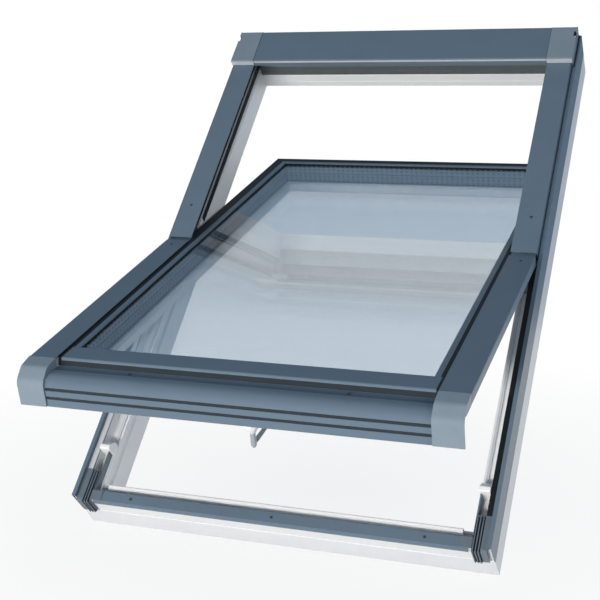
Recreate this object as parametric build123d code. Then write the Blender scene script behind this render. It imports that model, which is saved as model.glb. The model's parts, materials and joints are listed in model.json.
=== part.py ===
from build123d import *
import os

# Centre-pivot roof window with its frame, sash part open.
# Window coordinates: x across, y up the slope, z outward. The pivot axis is x, in the plane of
# the side covers' outer faces, at mid height. "drop" is a depth below that plane.
ROOF_PITCH = 45.0
REST_OPENING = 31.0

# Frame profile
FRAME_WIDTH = 780.0
FRAME_HEIGHT = 1180.0
FRAME_BACK_DROP = 122.0
FRAME_TOP_DROP = 24.0
FRAME_REVEAL = 40.0
FRAME_STEP = 19.0
LEDGE_DROP = 47.0
GROOVE_START = 31.0
GROOVE_WIDTH = 5.0
GROOVE_DEPTH = 4.0
GASKET_RISE = 3.0
LINING_START = 16.0
LINING_WIDTH = 13.0
LINING_DEPTH = 10.0

# Frame cladding
SHEET = 1.5
CHANNEL_RIB_DROP = 13.0
CHANNEL_RIB_WIDTH = 7.5
FLANGE_DROP = 68.0
FLANGE_GAP = 1.0
CHANNEL_SEAL = 1.5
CHANNEL_SEAL_GAP = 0.5
SILL_LIP_OUT = 3.5
SILL_LIP_DROP = 31.0
SILL_END_SETBACK = 40.0
SILL_SCREW_END_INSET = 115.0

# Side covers
COVER_EDGE_INSET = 9.0
COVER_WIDTH = 50.0
COVER_FLANGE = 19.0
COVER_BEND = 2.0
UPPER_COVER_START = 2.0
LOWER_COVER_START = 13.0
UPPER_COVER_TOP_INSET = 82.0
LOWER_COVER_END_INSET = 35.0
COVER_LEG_SETBACK = 7.0
COVER_LEG_START = 34.0
TONGUE_REACH = 10.5
TONGUE_DROP = 2.0
TONGUE_INSET = 2.0
UPPER_SCREW_PLACE = 86.0
LOWER_SCREW_PLACE = 39.0
COVER_SCREW_INSET = 27.0
SCREW_HEAD_RADIUS = 3.2
SCREW_HEAD_HEIGHT = 1.2
SCREW_HEAD_CHAMFER = 0.6
SCREW_SHANK_RADIUS = 1.6
SCREW_SHANK_LENGTH = 9.0

# Hood over the head
HOOD_LENGTH = 93.0
HOOD_RISE = 13.0
HOOD_LIP = 15.5
HOOD_BACK_DROP = 60.0
HOOD_BEND = 3.0
HOOD_BACK_BEND = 4.0
HOOD_CAP_WIDTH = 53.5
HOOD_CAP_EDGE_INSET = 6.0
HOOD_CAP_PROUD = 0.8
HOOD_CAP_LIP = 11.5
HOOD_LEG_SETBACK = 24.0
CAP_NOTCH_LENGTH = 16.0
CAP_NOTCH_DEPTH = 6.0
CAP_NOTCH_SETBACK = 30.0

# Sash profile
SASH_CLEARANCE = 5.0
SASH_END_CLEARANCE = 7.0
SASH_TOP_DROP = 6.0
SASH_BACK_DROP = 82.0
SASH_WALL = 17.0
SASH_RAIL = 45.0
SASH_BEAD = 5.0
SASH_GASKET_START = 2.0
SASH_GASKET_END = 23.0
SASH_GASKET_DROP = 3.8
STRIP_END = 33.0
STRIP_DROP = 3.5

# Glazing: three panes on two spacers
PANE_COUNT = 3
PANE = 4.0
PANE_SPACE = 18.0
GLASS_DROP = 9.0
GLASS_EDGE = 19.0
SPACER_START = 25.0
SPACER_END = 34.0
SEAT_TAPE = 1.0

# Cover of the bottom rail
RAIL_COVER_SHEET = 2.5
RAIL_COVER_END_GAP = 0.5
BAR_END_GAP = 6.0
BAR_TOP_INSET = 85.0
BAR_BOTTOM_INSET = 45.0
RECESS_START_INSET = 41.0
RECESS_DROP = 17.0
RECESS_LENGTH = 19.0
ROLL_TOP_DROP = 14.5
ROLL_LIP_RUN = 2.0
ROLL_RADIUS = 22.0
RAIL_FRONT_OUT = 13.0
RAIL_FRONT_DROP = 69.0
RAIL_RETURN = 9.0
RAIL_BEND = 2.0
FRONT_GROOVE_DROPS = (35.0, 51.0)
FRONT_GROOVE_WIDTH = 5.5
FRONT_GROOVE_DEPTH = 1.5
RECESS_SCREW_INSET = 29.0
RECESS_SCREW_END_INSET = 200.0

# End caps of the lower covers
CAP_SHEET = 2.0
CAP_SEAM = 0.5
CAP_TOP_LENGTH = 29.0
CAP_SHOULDER_DROP = 5.0
CAP_NOSE_LENGTH = 22.0
CAP_FRONT_DROP = 67.0
CAP_SHOULDER_BEND = 18.0
CAP_INNER_DROP = 20.5
CAP_FRONT_WEB = 10.5
CAP_SKIRT_DROP = 19.5
CAP_SKIRT_SETBACK = 4.0
CAP_SKIRT_ROUND = 14.0

# Ribbed covers on the lower frame corners
CORNER_TOP_INSET = 60.0
CORNER_DROP = 21.0
CORNER_FRONT_OUT = 4.5
CORNER_FRONT_DROP = 62.0
CORNER_BEND = 3.0
CORNER_RIB_COUNT = 3
CORNER_RIB_BAND = 15.0
CORNER_RIB_WIDTH = 1.8
CORNER_RIB_HEIGHT = 3.5
CORNER_PLATE_SHEET = 2.0
CORNER_TAB_WIDTH = 16.0
CORNER_PANEL_DROP = 26.0

# Guide blocks on the jambs
GUIDE_TOP_INSET = 124.0
GUIDE_HOOK_LENGTH = 22.0
GUIDE_HOOK_DROP = 16.0
GUIDE_BODY_DROP = 31.0
GUIDE_INSET = 1.5
GUIDE_RIM = 2.0
GUIDE_RIM_DROP = 41.0
GUIDE_BEND = 3.0
GUIDE_NOSE_SHARE = 0.6

# Pivot hinges: a curved tongue on the sash runs in a curved track in the frame
TRACK_INNER_RADIUS = 22.0
TRACK_OUTER_RADIUS = 30.0
TRACK_CLEARANCE = 0.1
TONGUE_START_ANGLE = 6.0
TONGUE_ARC = 32.0
TRACK_DEPTH = 12.0
PIVOT_PLATE_LENGTH = 120.0
PIVOT_PLATE_DROP = 14.0
ARM_PLATE = 2.0
ARM_PLATE_LENGTH = 70.0
ARM_PLATE_TOP_DROP = 9.0
ARM_PLATE_BACK_DROP = 38.0
ARM_RELIEF = 1.0

# Handle and lock
HANDLE_INSET = 23.0
ROSETTE_LENGTH = 64.0
ROSETTE_WIDTH = 36.0
ROSETTE_HEIGHT = 8.0
ROSETTE_CHAMFER = 2.0
NECK_FLARE_RADIUS = 15.5
NECK_FLARE_HEIGHT = 22.0
NECK_WAIST_RADIUS = 10.0
NECK_HEIGHT = 34.0
LEVER_HUB_RADIUS = 9.0
LEVER_HUB_HEIGHT = 32.0
LEVER_LENGTH = 92.0
LEVER_ROOT_WIDTH = 14.0
LEVER_TIP_WIDTH = 11.0
LEVER_THICKNESS = 10.0
LEVER_TIP_RADIUS = 4.0
LEVER_EDGE_CHAMFER = 1.5
LEVER_GAP = 0.3
SPINDLE_SIDE = 7.0
SPINDLE_GAP = 0.2
SPINDLE_HUB_DEPTH = 12.0
LOCK_CASE_WIDTH = 46.0
LOCK_CASE_LENGTH = 38.0
LOCK_CASE_TOP_DROP = 59.0
LOCK_CASE_BACK_DROP = 79.0
LOCK_CASE_WALL = 3.0
BOLT_WIDTH = 18.0
BOLT_LENGTH = 28.0
BOLT_GAP = 0.3
BOLT_SETBACK = 2.0
BOLT_TRAVEL = 16.0
KEEPER_LENGTH = 70.0
KEEPER_SHEET = 2.0
KEEPER_MARGIN = 4.0
KEEPER_CLEARANCE = 1.5

# One overrun serves all cuts
OVERRUN = 20.0

# Derived places
HALF_WIDTH = FRAME_WIDTH / 2
HALF_HEIGHT = FRAME_HEIGHT / 2
SASH_HALF_WIDTH = HALF_WIDTH - FRAME_REVEAL - SASH_CLEARANCE
SASH_HALF_HEIGHT = HALF_HEIGHT - FRAME_REVEAL - SASH_END_CLEARANCE
COVER_HALF_WIDTH = HALF_WIDTH - COVER_EDGE_INSET
COVER_INNER = COVER_HALF_WIDTH - COVER_WIDTH
UPPER_COVER_TOP = HALF_HEIGHT - UPPER_COVER_TOP_INSET
LOWER_COVER_BOTTOM = HALF_HEIGHT - LOWER_COVER_END_INSET
HOOD_FRONT = HALF_HEIGHT - HOOD_LENGTH
HOOD_CAP_HALF_WIDTH = HALF_WIDTH - HOOD_CAP_EDGE_INSET
HOOD_LEG_PLACE = HALF_HEIGHT - HOOD_LEG_SETBACK
CAP_NOTCH_PLACE = HALF_HEIGHT - CAP_NOTCH_SETBACK
SILL_SCREW_PITCH = HALF_WIDTH - SILL_SCREW_END_INSET
RAIL_COVER_HALF_LENGTH = COVER_INNER - RAIL_COVER_END_GAP
BAR_TOP = HALF_HEIGHT - BAR_TOP_INSET
BAR_BOTTOM = HALF_HEIGHT - BAR_BOTTOM_INSET
BAR_END = COVER_INNER - BAR_END_GAP
RECESS_START = HALF_HEIGHT - RECESS_START_INSET
RAIL_FRONT = HALF_HEIGHT + RAIL_FRONT_OUT
RECESS_SCREW_PLACE = HALF_HEIGHT - RECESS_SCREW_INSET
RECESS_SCREW_HALF_PITCH = HALF_WIDTH - RECESS_SCREW_END_INSET
CAP_SHOULDER = LOWER_COVER_BOTTOM + CAP_TOP_LENGTH
CAP_FRONT = CAP_SHOULDER + CAP_NOSE_LENGTH
CORNER_TOP = HALF_HEIGHT - CORNER_TOP_INSET
GUIDE_TOP = HALF_HEIGHT - GUIDE_TOP_INSET
GUIDE_HOOK_END = GUIDE_TOP + GUIDE_HOOK_LENGTH
HANDLE_PLACE = SASH_HALF_HEIGHT - HANDLE_INSET
STEP_X = HALF_WIDTH - FRAME_STEP
REVEAL_X = HALF_WIDTH - FRAME_REVEAL
CHANNEL_FLOOR_DROP = FRAME_TOP_DROP - SHEET
SEAT_DROP = GLASS_DROP + PANE_COUNT * PANE + (PANE_COUNT - 1) * PANE_SPACE + SEAT_TAPE

SIDES = ("left", "right", "top", "bottom")
HANDS = {"left": -1, "right": 1}

frame_place = Rot(X=ROOF_PITCH)
sash_place = Rot(X=ROOF_PITCH - REST_OPENING)


def edge_plane(side, half_x, half_y):
    """Section plane of one side of a rectangle: local x runs inward, local y runs outward along z."""
    planes = {
        "right": Plane((half_x, 0, 0), x_dir=(-1, 0, 0), z_dir=(0, 1, 0)),
        "left": Plane((-half_x, 0, 0), x_dir=(1, 0, 0), z_dir=(0, -1, 0)),
        "top": Plane((0, half_y, 0), x_dir=(0, -1, 0), z_dir=(-1, 0, 0)),
        "bottom": Plane((0, -half_y, 0), x_dir=(0, 1, 0), z_dir=(1, 0, 0)),
    }
    return planes[side]


def outline(points):
    """Flat face inside a closed line of points."""
    return make_face(Polyline(*points, close=True))


def folded(points, bends, sheet):
    """Section of a folded sheet along a centre line with rounded bends."""
    return trace(FilletPolyline(*points, radius=bends), sheet)


def mitred(section, side, half_x, half_y, reach):
    """Run a section along one side and cut both ends at 45 degrees."""
    run = max(half_x, half_y) + OVERRUN
    bar = extrude(edge_plane(side, half_x, half_y) * section, run, both=True)
    out = OVERRUN
    corner = [
        (half_x + out, half_y + out),
        (half_x - reach, half_y - reach),
    ]
    if side in HANDS:
        hand = HANDS[side]
        wedge = [(hand * x, y) for x, y in corner] + [(hand * x, -y) for x, y in reversed(corner)]
    else:
        up = 1 if side == "top" else -1
        wedge = [(x, up * y) for x, y in corner] + [(-x, up * y) for x, y in reversed(corner)]
    return bar & extrude(outline(wedge), FRAME_BACK_DROP + OVERRUN, both=True)


def ring(half_x, half_y, start, end, low, high):
    """Rectangular ring between two insets from an outline, from one z to another."""
    height = high - low
    middle = Pos(0, 0, (low + high) / 2)
    outer = Box(2 * (half_x - start), 2 * (half_y - start), height)
    inner = Box(2 * (half_x - end), 2 * (half_y - end), height + OVERRUN)
    return middle * (outer - inner)


def block(x_span, y_span, z_span):
    """Box from spans along the three axes."""
    spans = (x_span, y_span, z_span)
    sizes = [abs(span[1] - span[0]) for span in spans]
    centre = [(span[0] + span[1]) / 2 for span in spans]
    return Pos(*centre) * Box(*sizes)


def along_x(section, start, end):
    """Run a section drawn in y and z from one x to another."""
    plane = Plane((start, 0, 0), x_dir=(0, 1, 0), z_dir=(1, 0, 0))
    return extrude(plane * section, end - start)


def along_y(section, start, end):
    """Run a section drawn in x and z from one y to another."""
    plane = Plane((0, end, 0), x_dir=(1, 0, 0), z_dir=(0, -1, 0))
    return extrude(plane * section, end - start)


def on_hand(part, hand):
    """A piece drawn on the right, or its mirror image on the left."""
    return part if hand == "right" else mirror(part, Plane.YZ)


def screw(x, y, z):
    """Pan-head screw standing on a face at z, shank downward."""
    head = Pos(x, y, z + SCREW_HEAD_HEIGHT / 2) * Cylinder(SCREW_HEAD_RADIUS, SCREW_HEAD_HEIGHT)
    rim = head.edges().group_by(Axis.Z)[-1]
    head = chamfer(rim, SCREW_HEAD_CHAMFER)
    shank = Pos(x, y, z - SCREW_SHANK_LENGTH / 2) * Cylinder(SCREW_SHANK_RADIUS, SCREW_SHANK_LENGTH)
    return head + shank


def screw_hole(x, y, z):
    """Clearance for one screw's shank."""
    return Pos(x, y, z) * Cylinder(SCREW_SHANK_RADIUS, 2 * (SCREW_SHANK_LENGTH + SCREW_HEAD_HEIGHT))


def frame_section():
    """Welded frame profile: reveal, gasket ledge with its groove, step, and a lining groove at the back."""
    groove_end = GROOVE_START + GROOVE_WIDTH
    flange_seat = FLANGE_DROP + FLANGE_GAP
    body = outline([
        (0, -FRAME_BACK_DROP),
        (FRAME_REVEAL, -FRAME_BACK_DROP),
        (FRAME_REVEAL, -LEDGE_DROP),
        (groove_end, -LEDGE_DROP),
        (groove_end, -LEDGE_DROP - GROOVE_DEPTH),
        (GROOVE_START, -LEDGE_DROP - GROOVE_DEPTH),
        (GROOVE_START, -LEDGE_DROP),
        (FRAME_STEP, -LEDGE_DROP),
        (FRAME_STEP, -FRAME_TOP_DROP),
        (SHEET, -FRAME_TOP_DROP),
        (SHEET, -flange_seat),
        (0, -flange_seat),
    ])
    lining = outline([
        (LINING_START, -FRAME_BACK_DROP - OVERRUN),
        (LINING_START + LINING_WIDTH, -FRAME_BACK_DROP - OVERRUN),
        (LINING_START + LINING_WIDTH, -FRAME_BACK_DROP + LINING_DEPTH),
        (LINING_START, -FRAME_BACK_DROP + LINING_DEPTH),
    ])
    return body - lining


def frame_rails():
    names = {
        "left": "frame_left_jamb",
        "right": "frame_right_jamb",
        "top": "frame_head",
        "bottom": "frame_sill",
    }
    section = frame_section()
    rails = {}
    for side in SIDES:
        rails[names[side]] = mitred(section, side, HALF_WIDTH, HALF_HEIGHT, FRAME_REVEAL + OVERRUN)
    rails["frame_sill"] -= keeper_pocket()
    for x in sill_screw_places():
        rails["frame_sill"] -= screw_hole(x, sill_screw_line(), -CHANNEL_FLOOR_DROP)
    return rails


def bolt_drop():
    """Depth of the middle of the lock bolt."""
    return (LOCK_CASE_TOP_DROP + LOCK_CASE_BACK_DROP) / 2


def bolt_thickness():
    return LOCK_CASE_BACK_DROP - LOCK_CASE_TOP_DROP - 4 * LOCK_CASE_WALL


def keeper_height():
    return bolt_thickness() + 2 * (KEEPER_CLEARANCE + KEEPER_MARGIN)


def keeper_slot(depth):
    """Room for the end of the lock bolt behind the sill's reveal."""
    reveal_y = -HALF_HEIGHT + FRAME_REVEAL
    half_x = BOLT_WIDTH / 2 + KEEPER_CLEARANCE
    half_z = bolt_thickness() / 2 + KEEPER_CLEARANCE
    middle = -bolt_drop()
    return block((-half_x, half_x), (reveal_y - depth, reveal_y), (middle - half_z, middle + half_z))


def keeper_plate():
    reveal_y = -HALF_HEIGHT + FRAME_REVEAL
    half_z = keeper_height() / 2
    middle = -bolt_drop()
    half_x = KEEPER_LENGTH / 2
    return block((-half_x, half_x), (reveal_y - KEEPER_SHEET, reveal_y), (middle - half_z, middle + half_z))


def keeper_pocket():
    return keeper_plate() + keeper_slot(BOLT_TRAVEL + SASH_END_CLEARANCE)


def keeper():
    return keeper_plate() - keeper_slot(KEEPER_SHEET)


def jamb_cladding(hand):
    """Folded channel on the outer edge of a jamb, with a flange down its side."""
    section = outline([
        (FRAME_STEP, -FRAME_TOP_DROP),
        (FRAME_STEP, -CHANNEL_FLOOR_DROP),
        (CHANNEL_RIB_WIDTH, -CHANNEL_FLOOR_DROP),
        (CHANNEL_RIB_WIDTH, -CHANNEL_RIB_DROP),
        (0, -CHANNEL_RIB_DROP),
        (0, -FLANGE_DROP),
        (SHEET, -FLANGE_DROP),
        (SHEET, -CHANNEL_RIB_DROP - SHEET),
        (CHANNEL_RIB_WIDTH - SHEET, -CHANNEL_RIB_DROP - SHEET),
        (CHANNEL_RIB_WIDTH - SHEET, -FRAME_TOP_DROP),
    ])
    plane = edge_plane("right", HALF_WIDTH, HALF_HEIGHT)
    return on_hand(extrude(plane * section, HALF_HEIGHT, both=True), hand)


def sill_screw_line():
    return -HALF_HEIGHT + FRAME_STEP / 2


def sill_screw_places():
    return (-SILL_SCREW_PITCH, 0, SILL_SCREW_PITCH)


def sill_cladding():
    """Flat strip over the sill with a sloping drip lip along its front."""
    front = -HALF_HEIGHT
    back = -HALF_HEIGHT + FRAME_STEP
    lip = front - SILL_LIP_OUT
    section = outline([
        (back, -FRAME_TOP_DROP),
        (back, -CHANNEL_FLOOR_DROP),
        (front, -CHANNEL_FLOOR_DROP),
        (lip, -SILL_LIP_DROP),
        (lip + SHEET, -SILL_LIP_DROP - SHEET / 2),
        (front + SHEET, -FRAME_TOP_DROP - SHEET / 2),
        (front + SHEET, -FRAME_TOP_DROP),
    ])
    half = HALF_WIDTH - SILL_END_SETBACK
    strip = along_x(section, -half, half)
    for x in sill_screw_places():
        strip -= screw_hole(x, sill_screw_line(), -CHANNEL_FLOOR_DROP)
    return strip


def sill_screws():
    return [screw(x, sill_screw_line(), -CHANNEL_FLOOR_DROP) for x in sill_screw_places()]


def seal_loop():
    """Seal in the frame's ledge groove, all the way round."""
    low = -LEDGE_DROP - GROOVE_DEPTH
    high = -LEDGE_DROP + GASKET_RISE
    return ring(HALF_WIDTH, HALF_HEIGHT, GROOVE_START, GROOVE_START + GROOVE_WIDTH, low, high)


def frame_gasket():
    """Black seal of the upper half: up both jambs and along the head."""
    upper = block((-HALF_WIDTH, HALF_WIDTH), (0, HALF_HEIGHT), (-FRAME_BACK_DROP, 0))
    return seal_loop() & upper


def sill_seal():
    """Pale seal of the lower half: down both jambs to the guides, and along the sill between the corners."""
    lower = block((-HALF_WIDTH, HALF_WIDTH), (-HALF_HEIGHT, 0), (-FRAME_BACK_DROP, 0))
    loop = seal_loop() & lower
    for sign in HANDS.values():
        inner = sign * (REVEAL_X - CORNER_TAB_WIDTH)
        corner = (-HALF_HEIGHT, -GUIDE_TOP + GUIDE_INSET)
        loop -= block((inner, sign * HALF_WIDTH), corner, (-FRAME_BACK_DROP, 0))
    return list(loop.solids())


def channel_seal(hand):
    """Rubber strip on the floor of the jamb's channel, under the lower cover's flange."""
    seal = block(
        (STEP_X + CHANNEL_SEAL_GAP, HALF_WIDTH - CHANNEL_RIB_WIDTH - CHANNEL_SEAL_GAP),
        (-CORNER_TOP, -LOWER_COVER_START),
        (-CHANNEL_FLOOR_DROP, -CHANNEL_FLOOR_DROP + CHANNEL_SEAL),
    )
    return on_hand(seal, hand)


def corner_section(top, drop, front_out):
    """Side outline of a corner cover: over the ledge, up the sill's step and down its front."""
    sill_front = -HALF_HEIGHT + SHEET
    sill_step = -HALF_HEIGHT + FRAME_STEP
    front = -HALF_HEIGHT - front_out
    face = outline([
        (-top, -LEDGE_DROP),
        (-top, -drop),
        (front, -drop),
        (front, -CORNER_FRONT_DROP),
        (sill_front, -CORNER_FRONT_DROP),
        (sill_front, -FRAME_TOP_DROP),
        (sill_step, -FRAME_TOP_DROP),
        (sill_step, -LEDGE_DROP),
    ])
    brow = [v for v in face.vertices() if abs(v.X - front) + abs(v.Y + drop) < SHEET]
    return fillet(brow, CORNER_BEND)


def corner_cover(hand):
    """Moulded cover over a lower frame corner: panel beside the guide, ribs, and plate over the channel."""
    inner = REVEAL_X + GUIDE_INSET + GUIDE_RIM
    rib_start = STEP_X - CORNER_RIB_BAND
    sill_step = -HALF_HEIGHT + FRAME_STEP
    base = along_x(corner_section(CORNER_TOP, CORNER_DROP, CORNER_FRONT_OUT), rib_start, STEP_X)
    rib_section = corner_section(
        CORNER_TOP + CORNER_RIB_HEIGHT,
        CORNER_DROP - CORNER_RIB_HEIGHT,
        CORNER_FRONT_OUT + CORNER_RIB_HEIGHT,
    )
    pitch = CORNER_RIB_BAND / CORNER_RIB_COUNT
    for index in range(CORNER_RIB_COUNT):
        middle = rib_start + pitch * (index + 1 / 2)
        base += along_x(rib_section, middle - CORNER_RIB_WIDTH / 2, middle + CORNER_RIB_WIDTH / 2)
    base += block((inner, rib_start), (sill_step, -GUIDE_HOOK_END), (-LEDGE_DROP, -CORNER_PANEL_DROP))
    plate_front = -HALF_HEIGHT - CORNER_FRONT_OUT + CORNER_PLATE_SHEET / 2
    plate_path = [
        (-CORNER_TOP, -CHANNEL_FLOOR_DROP + CORNER_PLATE_SHEET / 2),
        (plate_front, -CHANNEL_FLOOR_DROP + CORNER_PLATE_SHEET / 2),
        (plate_front, -CORNER_FRONT_DROP),
    ]
    plate = along_x(
        folded(plate_path, CORNER_BEND, CORNER_PLATE_SHEET), STEP_X, HALF_WIDTH - CHANNEL_RIB_WIDTH
    )
    tab = block(
        (REVEAL_X - CORNER_TAB_WIDTH, rib_start),
        (-HALF_HEIGHT, sill_step),
        (-CHANNEL_FLOOR_DROP, -CORNER_DROP),
    )
    return on_hand(base + plate + tab, hand)


def guide_block(hand):
    """Hooked guide for the sash on the jamb's ledge, with a low rim down to the sill."""
    nose = GUIDE_TOP + GUIDE_HOOK_LENGTH * GUIDE_NOSE_SHARE
    side = outline([
        (-GUIDE_HOOK_END, -LEDGE_DROP),
        (-GUIDE_HOOK_END, -GUIDE_HOOK_DROP),
        (-nose, -GUIDE_HOOK_DROP),
        (-GUIDE_TOP, -GUIDE_BODY_DROP),
        (-GUIDE_TOP, -LEDGE_DROP),
    ])
    hook = [v for v in side.vertices() if abs(v.Y + GUIDE_HOOK_DROP) < SHEET]
    side = fillet(hook, GUIDE_BEND)
    inner = REVEAL_X + GUIDE_INSET
    rim = block(
        (inner, inner + GUIDE_RIM),
        (-HALF_HEIGHT + FRAME_STEP, -GUIDE_HOOK_END),
        (-LEDGE_DROP, -GUIDE_RIM_DROP),
    )
    return on_hand(along_x(side, inner, STEP_X) + rim, hand)


def hood_path(proud):
    """Centre line of the hood sheet, from its front lip over the top to its back flange."""
    top = HOOD_RISE - SHEET / 2 + proud
    front = HOOD_FRONT + SHEET / 2 - proud
    back = HALF_HEIGHT - SHEET / 2
    return front, top, back


def hood():
    front, top, back = hood_path(0)
    path = [(front, HOOD_RISE - HOOD_LIP), (front, top), (back, top), (back, -HOOD_BACK_DROP)]
    section = folded(path, (HOOD_BEND, HOOD_BACK_BEND), SHEET)
    leg = outline([
        (HOOD_LEG_PLACE, -FRAME_TOP_DROP),
        (HOOD_LEG_PLACE + SHEET, -FRAME_TOP_DROP),
        (HOOD_LEG_PLACE + SHEET, top),
        (HOOD_LEG_PLACE, top),
    ])
    half = HOOD_CAP_HALF_WIDTH - HOOD_CAP_WIDTH
    return along_x(section + leg, -half, half)


def hood_end_cap(hand):
    """Moulded end of the hood, with its own side wall standing on the jamb cladding."""
    front, top, back = hood_path(HOOD_CAP_PROUD)
    path = [(front, HOOD_RISE - HOOD_CAP_LIP), (front, top), (back, top), (back, -CHANNEL_RIB_DROP)]
    section = folded(path, (HOOD_BEND / 2, HOOD_BACK_BEND), SHEET)
    inner = HOOD_CAP_HALF_WIDTH - HOOD_CAP_WIDTH
    shell = along_x(section, inner, HOOD_CAP_HALF_WIDTH)
    wall_face = outline([
        (front + HOOD_BEND, -CHANNEL_RIB_DROP),
        (front, HOOD_RISE - HOOD_CAP_LIP),
        (front, top - HOOD_BEND / 2),
        (front + HOOD_BEND / 2, top),
        (back, top),
        (back, -CHANNEL_RIB_DROP),
    ])
    wall = along_x(wall_face, HOOD_CAP_HALF_WIDTH - SHEET, HOOD_CAP_HALF_WIDTH)
    notch = block(
        (HOOD_CAP_HALF_WIDTH - CAP_NOTCH_DEPTH, HOOD_CAP_HALF_WIDTH + OVERRUN),
        (CAP_NOTCH_PLACE, CAP_NOTCH_PLACE + CAP_NOTCH_LENGTH),
        (HOOD_RISE - CAP_NOTCH_DEPTH, HOOD_RISE + OVERRUN),
    )
    return on_hand(shell + wall - notch, hand)


def cover_screw_x():
    return COVER_INNER + COVER_SCREW_INSET


def cover_section():
    """Flat cover sheet with a flange folded down along its outer edge."""
    path = [
        (COVER_INNER, -SHEET / 2),
        (COVER_HALF_WIDTH - SHEET / 2, -SHEET / 2),
        (COVER_HALF_WIDTH - SHEET / 2, -COVER_FLANGE),
    ]
    return folded(path, COVER_BEND, SHEET)


def upper_cover(hand):
    """Side cover on the frame's upper half, on a leg that stands in the jamb channel."""
    body = along_y(cover_section(), UPPER_COVER_START, UPPER_COVER_TOP)
    leg_x = COVER_HALF_WIDTH - COVER_LEG_SETBACK
    leg = block((leg_x - SHEET, leg_x), (COVER_LEG_START, UPPER_COVER_TOP), (-CHANNEL_FLOOR_DROP, -SHEET / 2))
    body = body + leg - screw_hole(cover_screw_x(), UPPER_SCREW_PLACE, 0)
    return on_hand(body, hand)


def lower_cover(hand):
    """Side cover on the sash's lower half, with a stepped-down tongue that runs under the upper cover's end."""
    body = along_y(cover_section(), -LOWER_COVER_BOTTOM, -LOWER_COVER_START)
    riser_low = -LOWER_COVER_START - SHEET
    tongue_span = (COVER_INNER + TONGUE_INSET, COVER_HALF_WIDTH - TONGUE_INSET)
    leg = block(
        (SASH_HALF_WIDTH - SASH_GASKET_START, SASH_HALF_WIDTH),
        (-LOWER_COVER_BOTTOM + FRAME_REVEAL, riser_low),
        (-SASH_TOP_DROP, -SHEET / 2),
    )
    tongue = block(tongue_span, (riser_low, TONGUE_REACH), (-TONGUE_DROP - SHEET, -TONGUE_DROP))
    riser = block(tongue_span, (riser_low, -LOWER_COVER_START), (-TONGUE_DROP - SHEET, -SHEET / 2))
    body = body + leg + tongue + riser - screw_hole(cover_screw_x(), -LOWER_SCREW_PLACE, 0)
    return on_hand(body, hand)


def cover_screws(y):
    return [screw(sign * cover_screw_x(), y, 0) for sign in HANDS.values()]


def lower_cap(hand):
    """Moulded end of a lower cover, rolled down in front of the sill, with inner web and outer skirt."""
    half = CAP_SHEET / 2
    start = -LOWER_COVER_BOTTOM - CAP_SEAM
    front = -CAP_FRONT + half
    path = [
        (start, -half),
        (-CAP_SHOULDER, -CAP_SHOULDER_DROP),
        (front, -CAP_SHOULDER_DROP - CAP_SHOULDER_BEND),
        (front, -CAP_FRONT_DROP),
    ]
    shell = along_x(folded(path, CAP_SHOULDER_BEND, CAP_SHEET), COVER_INNER, COVER_HALF_WIDTH)
    roll = FilletPolyline(*path, radius=CAP_SHOULDER_BEND)
    under = make_face(roll.edges() + Polyline(path[-1], (start, -CAP_FRONT_DROP), path[0]).edges())
    web_back = -CAP_FRONT + CAP_FRONT_WEB
    inner_face = under - outline([
        (web_back, -CAP_INNER_DROP),
        (start + OVERRUN, -CAP_INNER_DROP),
        (start + OVERRUN, -CAP_FRONT_DROP - OVERRUN),
        (web_back, -CAP_FRONT_DROP - OVERRUN),
    ])
    skirt_front = -CAP_FRONT + CAP_SKIRT_SETBACK
    skirt_length = start + OVERRUN - skirt_front
    skirt_height = CAP_SKIRT_DROP + OVERRUN
    skirt_middle = Pos(skirt_front + skirt_length / 2, OVERRUN - skirt_height / 2)
    outer_face = under & (skirt_middle * RectangleRounded(skirt_length, skirt_height, CAP_SKIRT_ROUND))
    inner_web = along_x(inner_face, COVER_INNER, COVER_INNER + CAP_SHEET)
    outer_web = along_x(outer_face, COVER_HALF_WIDTH - CAP_SHEET, COVER_HALF_WIDTH)
    return on_hand(shell + inner_web + outer_web, hand)


def sash_section():
    """Welded sash profile: outer wall, glass seat and a chamfered bead towards the room."""
    return outline([
        (0, -SASH_BACK_DROP),
        (SASH_RAIL - SASH_BEAD, -SASH_BACK_DROP),
        (SASH_RAIL, -SASH_BACK_DROP + SASH_BEAD),
        (SASH_RAIL, -SEAT_DROP - SASH_BEAD),
        (SASH_RAIL - SASH_BEAD, -SEAT_DROP),
        (SASH_WALL, -SEAT_DROP),
        (SASH_WALL, -SASH_TOP_DROP),
        (0, -SASH_TOP_DROP),
    ])


def lock_case_box():
    """Space of the lock case in the bottom rail."""
    half = LOCK_CASE_WIDTH / 2
    edge = -SASH_HALF_HEIGHT
    return block(
        (-half, half),
        (edge, edge + LOCK_CASE_LENGTH),
        (-LOCK_CASE_BACK_DROP, -LOCK_CASE_TOP_DROP),
    )


def spindle_hole():
    side = SPINDLE_SIDE + 2 * SPINDLE_GAP
    half = side / 2
    reach = SASH_BACK_DROP + ROSETTE_HEIGHT + NECK_HEIGHT + OVERRUN
    swept = Pos(0, -HANDLE_PLACE, -reach / 2 - bolt_drop() / 2) * Cylinder(half * 2 ** 0.5, reach)
    return swept & block(
        (-SASH_RAIL, SASH_RAIL), (-SASH_HALF_HEIGHT, 0), (-reach, -LOCK_CASE_BACK_DROP + LOCK_CASE_WALL)
    )


def sash_rails():
    names = {
        "left": "sash_left_stile",
        "right": "sash_right_stile",
        "top": "sash_top_rail",
        "bottom": "sash_bottom_rail",
    }
    section = sash_section()
    rails = {}
    for side in SIDES:
        rails[names[side]] = mitred(section, side, SASH_HALF_WIDTH, SASH_HALF_HEIGHT, SASH_RAIL + OVERRUN)
    rails["sash_bottom_rail"] -= lock_case_box()
    rails["sash_bottom_rail"] -= spindle_hole()
    return rails


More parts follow.
